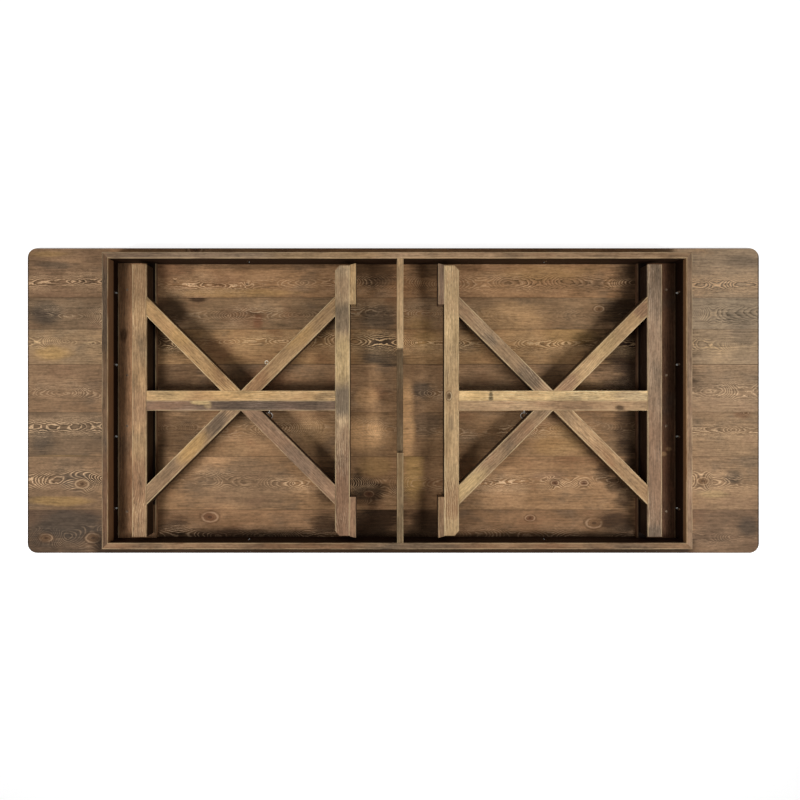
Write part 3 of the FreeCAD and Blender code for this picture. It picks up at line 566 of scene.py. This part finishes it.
# Each hinge board's tone, its patches, where the inner edge of the rail over it is in the picture, which
# way the table's end is, how bright its arrises are, as wear with a painted highlight, and the stretches of
# painted shade that the rail casts on its inboard strip, as from and to along it and strength. 0.6 is past
# its ends.
hinge_board_looks = {
    # The left board's tone, much lighter than the right's, is painted light on a board that lies in the
    # shadow of its apron and rail
    "left_hinge_board": ((170, 130, 97), [(124, 335, 5, 8, dark_stain_and_shadow, 0.6)], 146, -1, 1.0,
                         [(-0.345, 0.6, 1.0), (-0.6, -0.345, 0.55)]),
    "right_hinge_board": ((98, 70, 52), [(664, 454, 3.5, 2.5, honey, 0.5), (669, 449, 3.5, 2.5, honey, 0.5)],
                          647, 1, 0.2, [(-0.6, 0.6, 1.0)]),
}
shade_fade = 0.003
for index, (node, look) in enumerate(hinge_board_looks.items()):
    tone, patches, rail_line, way, arris_wear_and_highlight, stretches = look
    board_low, board_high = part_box(node)
    under_rail = -spot(rail_line, 0, board_level)[0]
    low_v, high_v = (under_rail, -board_low.x) if way > 0 else (-board_high.x, under_rail)
    shades = [(low_u, high_u, low_v, high_v - shade_fade, shade_fade, strength)
              for low_u, high_u, strength in stretches]
    pine(node, 47.0 + index * 5.1, tone, across_turn, board_level, pith=0.7, depth=0.2, ring=0.006,
         lines=0.3, patches=patches, shades=shades, arrises=edge_pairs(node, across_turn, board_level),
         arris_wear_and_highlight=arris_wear_and_highlight)

# Each member of the leg frames: its turn, its tone, how bright its arrises are, as wear with a painted
# highlight, its patches and knots
leg_looks = {
    "left_hinge_rail": (across_turn, (157, 127, 94), 0.8,
                        [(138, 280, 24, 24, umber, 0.3), (138, 345, 24, 24, dun, 0.15),
                         (138, 408, 24, 22, umber, 0.6), (140, 445, 24, 14, straw, 0.3),
                         (140, 484, 24, 24, russet, 0.4), (140, 470, 24, 60, umber, 0.4),
                         (134, 522, 4, 14, honey, 0.4), (142, 526, 24, 22, umber, 0.5)],
                        []),
    "left_foot_rail": (across_turn, (172, 147, 117), 0.8,
                       [(344, 318, 24, 14, ash, 0.55), (344, 402, 24, 18, ash, 0.75),
                        (344, 360, 24, 22, straw, 0.6), (346, 505, 24, 76, umber, 1.0),
                        (344, 446, 24, 26, umber, 0.5), (344, 286, 24, 12, russet, 0.2)],
                       []),
    "left_back_stave": (0.0, (181, 148, 108), 0.35,
                        [(240, 393, 40, 8, gold, 0.3), (170, 393, 24, 8, straw, 0.3)],
                        []),
    "left_front_stave": (0.0, (126, 103, 86), 0.5,
                         [(262, 405, 60, 8, slate, 0.6), (168, 405, 24, 8, umber, 0.5),
                          (200, 402, 9, 2.5, straw, 0.75), (208, 406, 4, 3, straw, 0.35),
                          (330, 405, 14, 8, ash, 0.3)],
                         []),
    "left_back_foot_pad": (across_turn, (196, 162, 120), 0.3, [], []),
    "left_front_foot_pad": (across_turn, (155, 122, 97), 0.3, [], []),
    "left_back_hinge_brace": (-diagonal, (162, 130, 92), 0.8,
                              [(226, 376, 14, 14, russet, 0.35), (180, 335, 12, 10, gold, 0.3)], []),
    "left_front_hinge_brace": (diagonal, (140, 114, 88), 0.8,
                               [(190, 447, 20, 14, gold, 0.55), (218, 422, 14, 12, slate, 0.65)], []),
    "left_back_foot_brace": (diagonal, (160, 130, 96), 0.8,
                             [(257, 382, 14, 10, russet, 0.4), (300, 335, 18, 10, gold, 0.3)], []),
    "left_front_foot_brace": (-diagonal, (138, 110, 88), 0.4, [(300, 462, 20, 14, dun, 0.3)], []),
    "right_hinge_rail": (across_turn, (146, 123, 102), 0.8,
                         [(655, 300, 24, 20, ash, 0.35), (655, 470, 24, 60, umber, 0.65),
                          (655, 533, 24, 8, slate, 0.6)],
                         []),
    "right_foot_rail": (across_turn, (172, 145, 110), 0.8,
                        [(451, 423, 3, 9, slate, 0.4), (452, 330, 24, 20, straw, 0.2),
                         (450, 500, 24, 20, russet, 0.3)],
                        [(449, 396, 0.008, dark_stain_and_shadow)]),
    "right_back_stave": (0.0, (200, 169, 125), 0.35,
                         [(475, 395, 16, 9, gold, 0.3), (491, 398, 2.5, 9, dark_stain_and_shadow, 0.75),
                          (636, 396, 24, 9, dun, 0.45)],
                         []),
    "right_front_stave": (0.0, (161, 133, 103), 0.4,
                          [(560, 405, 40, 6, russet, 0.25), (620, 408, 5, 3, dark_stain_and_shadow, 0.8)],
                          []),
    "right_back_foot_pad": (across_turn, (120, 98, 80), 0.3, [], []),
    "right_front_foot_pad": (across_turn, (148, 118, 90), 0.3, [], []),
    "right_back_hinge_brace": (diagonal, (166, 137, 102), 0.8,
                               [(568, 385, 14, 9, umber, 0.8), (604, 345, 16, 10, straw, 0.25),
                                (643, 309, 9, 12, umber, 0.8)],
                               [(640, 301, 0.006, dark_stain_and_shadow)]),
    "right_front_hinge_brace": (-diagonal, (160, 130, 98), 0.8, [(600, 455, 20, 10, russet, 0.2)], []),
    "right_back_foot_brace": (-diagonal, (150, 124, 97), 0.8,
                              [(530, 376, 16, 14, slate, 0.6), (490, 340, 10, 8, ash, 0.5)], []),
    "right_front_foot_brace": (diagonal, (142, 116, 90), 0.8,
                               [(468, 484, 24, 12, straw, 0.6), (520, 432, 16, 12, russet, 0.25)], []),
}
brace_half_width = 0.0225
# Where the four braces of a leg frame meet, along the table
cross_middles = {"left": -0.4911, "right": 0.5131}
# How strongly painted shade darkens the side faces, of rails and of the other members, and how far under
# the arrises it ends
rail_side_shade, member_side_shade, side_shade_gap = 0.93, 0.85, 0.003
for index, (node, (turn, tone, arris_wear_and_highlight, patches, knots)) in enumerate(leg_looks.items()):
    if "brace" in node:
        middle_line = turned_spot(cross_middles[node.split("_")[0]], 0.0, turn)[1]
        arrises = [(middle_line - brace_half_width, leg_level), (middle_line + brace_half_width, leg_level)]
    else:
        arrises = edge_pairs(node, turn, leg_level)
    side_shade = rail_side_shade if "rail" in node else member_side_shade
    # Painted shade on both side faces, under the arrises
    walls = [(edge_v, edge_w - side_shade_gap, side_shade, 0) for edge_v, edge_w in arrises]
    pith = 0.5 * (arrises[0][0] + arrises[1][0]) + 0.06
    pine(node, 61.0 + index * 1.9, tone, turn, leg_level, pith=pith, depth=0.05, dive=0.02, ring=0.0045,
         lines=0.4, streak=0.62, mottle=1.1, patches=patches, knots=knots, walls=walls, arrises=arrises,
         arris_wear_and_highlight=arris_wear_and_highlight)


def plated(name, tone, dull, rough, metal=1.0):
    """Zinc plated steel: small crystals and a grey bloom, rougher where it is dull."""
    material, tree, shader = blank(name)
    spread = place(tree)
    crystal = cloud(tree, spread, (900.0, 900.0, 900.0), 3.0, 2.0)
    bloom = cloud(tree, spread, (160.0, 160.0, 160.0), 8.0, 3.0)
    colour = mixed(tree, bloom.ease(0.35, 0.7), tone, dull)
    feed(shader.inputs["Base Color"], colour)
    shader.inputs["Metallic"].default_value = metal
    feed(shader.inputs["Roughness"], bloom.ease(0.3, 0.7, rough, rough + 0.22) + (crystal - 0.5) * 0.2)
    raised(tree, shader, crystal, 0.15, 0.0002)
    return material


screw_zinc = plated("screw zinc", paint(236, 236, 232), paint(200, 200, 196), 0.26, 0.9)
stained_zinc = plated("zinc under wood stain", paint(150, 128, 104), paint(92, 72, 54), 0.45, 0.5)
hinge_steel = plated("hinge steel", paint(150, 148, 140), paint(104, 100, 92), 0.38)
stay_steel = plated("stay steel", paint(150, 148, 140), paint(104, 100, 92), 0.40)
ring_wire = plated("ring wire", paint(226, 226, 220), paint(176, 176, 170), 0.25, 0.6)
eye_zinc = plated("worn zinc", paint(206, 196, 178), paint(150, 138, 118), 0.4, 0.8)
for node in nodes:
    if "leaves" in node or node == "hinge_pins":
        wear(node, hinge_steel)
    elif node.endswith(("bracket", "link")):
        wear(node, stay_steel)


def added(name, data):
    """A new object of the data, in the scene."""
    thing = bpy.data.objects.new(name, data)
    bpy.context.scene.collection.objects.link(thing)
    return thing


def angles(count):
    """Even steps once round a circle."""
    return np.linspace(0, 2 * np.pi, count, endpoint=False)


def squares(rows, columns, ring=False):
    """The faces between the rows of a grid that closes round its columns. A ring's last row meets its
    first."""
    row, column = np.meshgrid(np.arange(rows if ring else rows - 1), np.arange(columns), indexing="ij")
    row_after, column_after = (row + 1) % rows, (column + 1) % columns
    corners = ((row, column), (row_after, column), (row_after, column_after), (row, column_after))
    return np.stack([down * columns + along for down, along in corners], -1).reshape(-1, 4)


def fitted(name, places, faces, material, body, node, slot):
    """Makes a mesh of the places, in millimetres, in the stead of a node. Places that fall together at a
    pole become one, and a square that loses a corner there becomes a triangle."""
    digits, sharp_angle = 5, math.radians(35)
    corners, index = np.unique(np.round(places.reshape(-1, 3), digits), axis=0, return_inverse=True)
    faces = index.reshape(-1)[faces]
    at_start = faces[:, 0] == faces[:, 3]
    at_end = faces[:, 1] == faces[:, 2]
    shapes = faces[~(at_start | at_end)].tolist() + faces[at_start][:, :3].tolist()
    shapes += faces[at_end][:, [0, 1, 3]].tolist()
    mesh = bpy.data.meshes.new(name)
    mesh.from_pydata(corners / 1000, [], shapes)
    mesh.shade_smooth()
    mesh.set_sharp_from_angle(angle=sharp_angle)
    mesh.materials.append(material)
    piece = added(name, mesh)
    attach(piece, body)
    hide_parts(node)


def square_ways(way):
    """Two directions square to a way and to each other: the first crossed with the second is the way."""
    helper = np.where(np.abs(way[..., 2:]) > 0.9, (1.0, 0.0, 0.0), (0.0, 0.0, 1.0))
    first = np.cross(helper, way)
    first /= np.linalg.norm(first, axis=-1, keepdims=True)
    return first, np.cross(way, first)


def screws_of(node):
    """Where the screws of a node stand: the top of each head and the way out of it, in millimetres. A
    screw is the set of corners that triangles join. It lies along their longest spread, and its head is
    the wide end."""
    mesh = nodes[node].data
    places = np.empty(len(mesh.vertices) * 3)
    mesh.vertices.foreach_get("co", places)
    corners, index = np.unique(np.round(places.reshape(-1, 3) * 1000, 3), axis=0, return_inverse=True)
    loops = np.empty(len(mesh.loops), int)
    mesh.loops.foreach_get("vertex_index", loops)
    triangles = index.reshape(-1)[loops].reshape(-1, 3)
    # Each corner takes the least label of its triangles until all of a screw's corners have the same
    label = np.arange(len(corners))
    settled = False
    while not settled:
        before = label.copy()
        np.minimum.at(label, triangles, label[triangles].min(axis=1, keepdims=True))
        settled = np.array_equal(before, label)
    tops, ways = [], []
    for screw in np.unique(label):
        own = corners[label == screw]
        offset = own - own.mean(axis=0)
        way = np.linalg.svd(offset, full_matrices=False)[2][0]
        along = offset @ way
        aside = np.linalg.norm(offset - along[:, None] * way, axis=1)
        head_rim = aside > aside.max() - 0.2
        way = way if along[head_rim].mean() > 0 else -way
        tops.append(own.mean(axis=0) + way * (offset @ way).max())
        ways.append(way)
    return np.array(tops), np.array(ways)


def threaded(name, node, body, finish, head_radius, crown, rim, under, root, crest, pitch, length):
    """Screws with a cross recess and a thread. Down the screw the radius is the head's, then the shank's:
    the root's plus a ridge where the height over the pitch, less the turn's share, is near a half, and it
    runs out to nothing at the point. The head's top falls with the square of the radius, and sinks by the
    recess where the place is inside one of two crossed bars. A head with a flat under side steps in to
    the root, and a countersunk one tapers."""
    tops, ways = screws_of(node)
    columns, head_rows, rows_per_pitch = 24, 12, 6
    bar_reach, bar_width = 0.58, 0.17
    ridge_reach, driven_turn = 0.24, 0.83
    turn = angles(columns)
    share = np.linspace(0, 1, head_rows)[:, None]
    radius = np.broadcast_to(share * head_radius, (head_rows, columns))
    bar_x = np.abs(radius * np.cos(turn)) / head_radius
    bar_y = np.abs(radius * np.sin(turn)) / head_radius
    bars = np.minimum(np.maximum(bar_x / bar_reach, bar_y / bar_width),
                      np.maximum(bar_y / bar_reach, bar_x / bar_width))
    recess = 0.45 * rim * np.clip((1.15 - bars) * 4, 0, 1) * (1.0 - 0.5 * share)
    height = -crown * share ** 2 - recess
    neck = np.array([(head_radius, -crown - 0.35 * rim), (head_radius * 0.98, -crown - 0.5 * rim)])
    if under:
        neck = np.array([(head_radius, -rim + 0.1), (head_radius - 0.1, -rim), (root + 0.1, -rim)])
    down = np.linspace(-rim - 0.2, -length, int((length - rim) / pitch * rows_per_pitch))[:, None]
    phase = (down / pitch + turn / (2 * np.pi)) % 1
    ridge = np.clip(1 - np.abs(phase - 0.5) / ridge_reach, 0, 1)
    point = np.clip((down + length) / (3 * crest), 0, 1) ** 0.8
    start = np.clip((-down - rim) / (2 * pitch), 0, 1)
    shank = (root + (crest - root) * ridge * start) * point
    radius = np.concatenate([radius, np.repeat(neck[:, :1], columns, 1), shank])
    height = np.concatenate([height, np.repeat(neck[:, 1:], columns, 1), np.repeat(down, columns, 1)])
    first, second = square_ways(ways)
    # Each screw stops at its own angle
    spin = turn + np.arange(len(tops))[:, None] * driven_turn
    side = first[:, None] * np.cos(spin)[..., None] + second[:, None] * np.sin(spin)[..., None]
    places = tops[:, None, None] + radius[..., None] * side[:, None] + height[..., None] * ways[:, None, None]
    one = squares(len(radius), columns)
    faces = (one + np.arange(len(tops))[:, None, None] * radius.size).reshape(-1, 4)
    fitted(name, places, faces, finish, body, node, "zinc_screw")


# Screw sizes in millimetres. The rim is the head's height, under says that its under side is flat, and
# root and crest are the thread's radii.
pan_head = dict(head_radius=4.2, crown=1.0, rim=2.6, under=True, root=1.5, crest=2.1, pitch=1.8, length=34.6)
board_screw = dict(head_radius=4.3, crown=0.05, rim=2.6, under=False, root=1.6, crest=2.2, pitch=2.0,
                   length=31.0)
leaf_screw = dict(head_radius=3.3, crown=0.05, rim=1.7, under=False, root=1.2, crest=1.7, pitch=1.4,
                  length=14.0)
threaded("pocket_screw_set", "apron_pocket_screws", "table", finish=screw_zinc, **pan_head)
threaded("board_screw_set", "hinge_board_screws", "table", finish=stained_zinc, **board_screw)
threaded("table_leaf_screw_set", "top_hardware_screws", "table", finish=screw_zinc, **leaf_screw)
for side in ("left", "right"):
    threaded(side + "_leg_leaf_screw_set", side + "_leg_hardware_screws", side + "_leg",
             finish=screw_zinc, **leaf_screw)


def round_wire(middle, normal, radius, wire_radius):
    """A ring of round wire: a circle carried round a circle."""
    way = np.array(normal, float) / np.linalg.norm(normal)
    first, second = square_ways(way)
    rows, columns = 96, 20
    round_ring = angles(rows)[:, None, None]
    round_section = angles(columns)[:, None]
    out = np.cos(round_ring) * first + np.sin(round_ring) * second
    places = np.array(middle) + (radius + wire_radius * np.cos(round_section)) * out
    return places + wire_radius * np.sin(round_section) * way, squares(rows, columns, ring=True)


def lathed(outline, start, way, ring=False):
    """An outline of radius and height turned round a way from a start. A ring's outline is a closed loop."""
    outline = np.array(outline)
    way = np.array(way, float)
    first, second = square_ways(way)
    columns = 40
    turn = angles(columns)[:, None]
    side = np.cos(turn) * first + np.sin(turn) * second
    places = np.array(start) + outline[:, :1, None] * side + outline[:, 1:, None] * way
    return places, squares(len(outline), columns, ring)


def joined(*parts):
    """Several grids of places as one, with their faces numbered on."""
    places = np.concatenate([part[0].reshape(-1, 3) for part in parts])
    starts = np.cumsum([0] + [part[0].size // 3 for part in parts[:-1]])
    return places, np.concatenate([part[1] + start for part, start in zip(parts, starts)])


# The knees of the stays, in millimetres: how far along the table they are, their height, and how far
# across the table the bolt's start, its eye and the pull ring are. The ring hangs tilted.
knees = {"left": -411.85, "right": 433.85}
knee_height = 37.05
bolt_start, bolt_eye = -21.7, -39.7
ring_across, ring_height = -49.35, 31.78
ring_radius, ring_wire_radius = 11.0, 1.2
ring_tilt = math.radians(28.66)
# The bolt's outline is its radius and how far along it, from its head through a link and the collar to
# the end. The eye's outline is a rounded oval: each of its two numbers is a cosine or sine to the power
# 0.6, with its sign.
bolt_outline = [(0, 3.7), (5.2, 3.7), (5.8, 3.5), (6, 3.1), (6, 0.3), (5.7, 0), (2.95, 0), (2.95, -3.0)]
bolt_outline += [(5.6, -3.0), (6, -3.3), (5.9, -4.0), (5.3, -4.4), (3.1, -4.4), (2.95, -4.7)]
bolt_outline += [(2.8, -14.2), (1.9, -16.1), (0, -16.4)]
loop = angles(24)
circle = np.array([np.cos(loop), np.sin(loop)])
bulge = np.abs(circle) ** 0.6 * np.sign(circle)
eye_outline = np.stack([3.2 + 1.3 * bulge[0], -1.5 * bulge[1]], 1)
ring_normal = (0, -math.sin(ring_tilt), math.cos(ring_tilt))
for side, knee in knees.items():
    shank = lathed(bolt_outline, (knee, bolt_start, knee_height), (0, 1, 0))
    eye = lathed(eye_outline, (knee, bolt_eye, knee_height), (1, 0, 0), ring=True)
    fitted(side + "_knee_eye_bolt", *joined(shank, eye), ring_wire, side + "_leg_stay_link",
           side + "_knee_bolt", "ring_steel")
    ring = round_wire((knee, ring_across, ring_height), ring_normal, ring_radius, ring_wire_radius)
    fitted(side + "_round_pull_ring", *ring, ring_wire, side + "_ring", side + "_pull_ring", "ring_steel")


def eye_wire(middle, out, wire_radius, eye_radius, shank_length):
    """A screw eye's wire: a circle carried along a line that comes up the shank, bends aside on a cubic
    curve and goes round most of a circle. The shank ends in a threaded point."""
    shank_rows, threaded_rows, bend_rows, arc_rows, columns = 60, 48, 12, 70, 20
    arc_start, arc_end = 158, -143
    bend_gap, bend_pull = 2.2, 1.2
    pitch, point_length = 1.5, 4.0
    root_share, ridge_reach = 0.78, 0.25
    out = np.array(out) / np.linalg.norm(out)
    aside = np.array((-out[1], out[0], 0.0))
    shank = np.linspace(-eye_radius - shank_length, -eye_radius - bend_gap, shank_rows)
    line = np.stack([shank, shank * 0], 1)
    angle = np.radians(np.linspace(arc_start, arc_end, arc_rows))
    arc = eye_radius * np.stack([np.cos(angle), np.sin(angle)], 1)
    heading = np.array((math.sin(angle[0]), -math.cos(angle[0])))
    share = np.linspace(0, 1, bend_rows + 2)[1:-1, None]
    curve = (1 - share) ** 3 * line[-1] + 3 * share * (1 - share) ** 2 * (line[-1] + (bend_pull, 0))
    curve = curve + 3 * share ** 2 * (1 - share) * (arc[0] - bend_pull * heading) + share ** 3 * arc[0]
    path = np.concatenate([line, curve, arc])
    travel = np.gradient(path, axis=0)
    travel /= np.linalg.norm(travel, axis=1, keepdims=True)
    normal = np.stack([-travel[:, 1], travel[:, 0]], 1)
    turn = angles(columns)
    thickness = np.full((len(path), columns), wire_radius)
    threaded_part = np.arange(len(path))[:, None] < threaded_rows
    phase = (path[:, :1] / pitch + turn / (2 * np.pi)) % 1
    ridge = root_share + (1 - root_share) * np.clip(1 - np.abs(phase - 0.5) / ridge_reach, 0, 1)
    point = np.clip((path[:, :1] - path[0, 0] + 0.05) / point_length, 0, 1) ** 0.8
    thickness = np.where(threaded_part, thickness * ridge * point, thickness)
    thickness[0] = thickness[-1] = 0
    flat = path[:, None] + thickness[..., None] * np.cos(turn)[:, None] * normal[:, None]
    rise = -thickness * np.sin(turn)
    places = np.array(middle) + flat[..., :1] * out + flat[..., 1:] * aside + rise[..., None] * (0, 0, 1)
    return places, squares(len(path), columns)


# The screw eye stands in the side of the left leg frame's back foot brace, 145 mm from where the braces
# meet. Its middle is 6.7 mm off the brace, which is 45 mm wide.
eye_way = np.array((-1.0, 1.0, 0.0)) / math.sqrt(2)
eye_foot = np.array((-491.1, 0.0, 95.4)) + np.array((1.0, 1.0, 0.0)) / math.sqrt(2) * 145
eye_middle = eye_foot + eye_way * (22.5 + 6.7)
screw_eye = eye_wire(eye_middle, eye_way, wire_radius=1.5, eye_radius=5.2, shank_length=14.0)
fitted("left_brace_screw_eye", *screw_eye, eye_zinc, "left_leg", "left_screw_eye", "zinc_screw")


def seen_rays(tree):
    """1 for the camera's rays, straight, mirrored or through a surface, and 0 for those that gather light."""
    path = tree.nodes.new("ShaderNodeLightPath")
    seen = Amount(tree, path.outputs["Is Camera Ray"])
    for ray in ("Is Glossy Ray", "Is Transmission Ray"):
        seen = seen.most(Amount(tree, path.outputs[ray]))
    return seen


# Floor, light and camera. The floor and the world look white, and light the table only a little.
floor_half = 12.0
floor_glow = 0.78
world_light = 0.22
corners = [(-floor_half, -floor_half, 0), (floor_half, -floor_half, 0)]
corners += [(floor_half, floor_half, 0), (-floor_half, floor_half, 0)]
floor_mesh = bpy.data.meshes.new("studio floor")
floor_mesh.from_pydata(corners, [], [(0, 1, 2, 3)])
floor = added("studio_floor", floor_mesh)
floor_paint, tree, shader = blank("studio floor paint")
shader.inputs["Base Color"].default_value = (0.86, 0.86, 0.86, 1)
shader.inputs["Roughness"].default_value = 0.9
shader.inputs["Emission Color"].default_value = (1, 1, 1, 1)
feed(shader.inputs["Emission Strength"], seen_rays(tree) * floor_glow)
floor_mesh.materials.append(floor_paint)

world = bpy.data.worlds.new("studio")
bpy.context.scene.world = world
world.use_nodes = True
sky = world.node_tree.nodes["Background"]
sky.inputs["Color"].default_value = (1, 1, 1, 1)
feed(sky.inputs["Strength"], seen_rays(world.node_tree) * (1 - world_light) + world_light)

# Two soft square lamps at the front corners, each turned to the middle of its half of the table
for side, way in (("left", -1), ("right", 1)):
    light = bpy.data.lights.new(side + " lamp", "AREA")
    light.size = 0.78
    light.spread = math.radians(70)
    light.energy = 6.9
    lamp_place = np.array((way * 1.72, -0.72, 1.86))
    lamp_aim = np.array((way * 0.55, 0.03, 0.0))
    lamp = added(side + " lamp", light)
    lamp.location = lamp_place
    lamp.rotation_mode = "QUATERNION"
    lamp.rotation_quaternion = Vector(lamp_aim - lamp_place).to_track_quat("-Z", "Y")

scene = bpy.context.scene
scene.view_settings.view_transform = "Standard"
camera_data = bpy.data.cameras.new("overhead camera")
camera_data.sensor_width = 36.0
camera_data.lens = camera_focus / picture_size * camera_data.sensor_width
camera_data.shift_x = (picture_size / 2 - picture_middle[0]) / picture_size
camera = added("overhead camera", camera_data)
camera.location = camera_place
scene.camera = camera
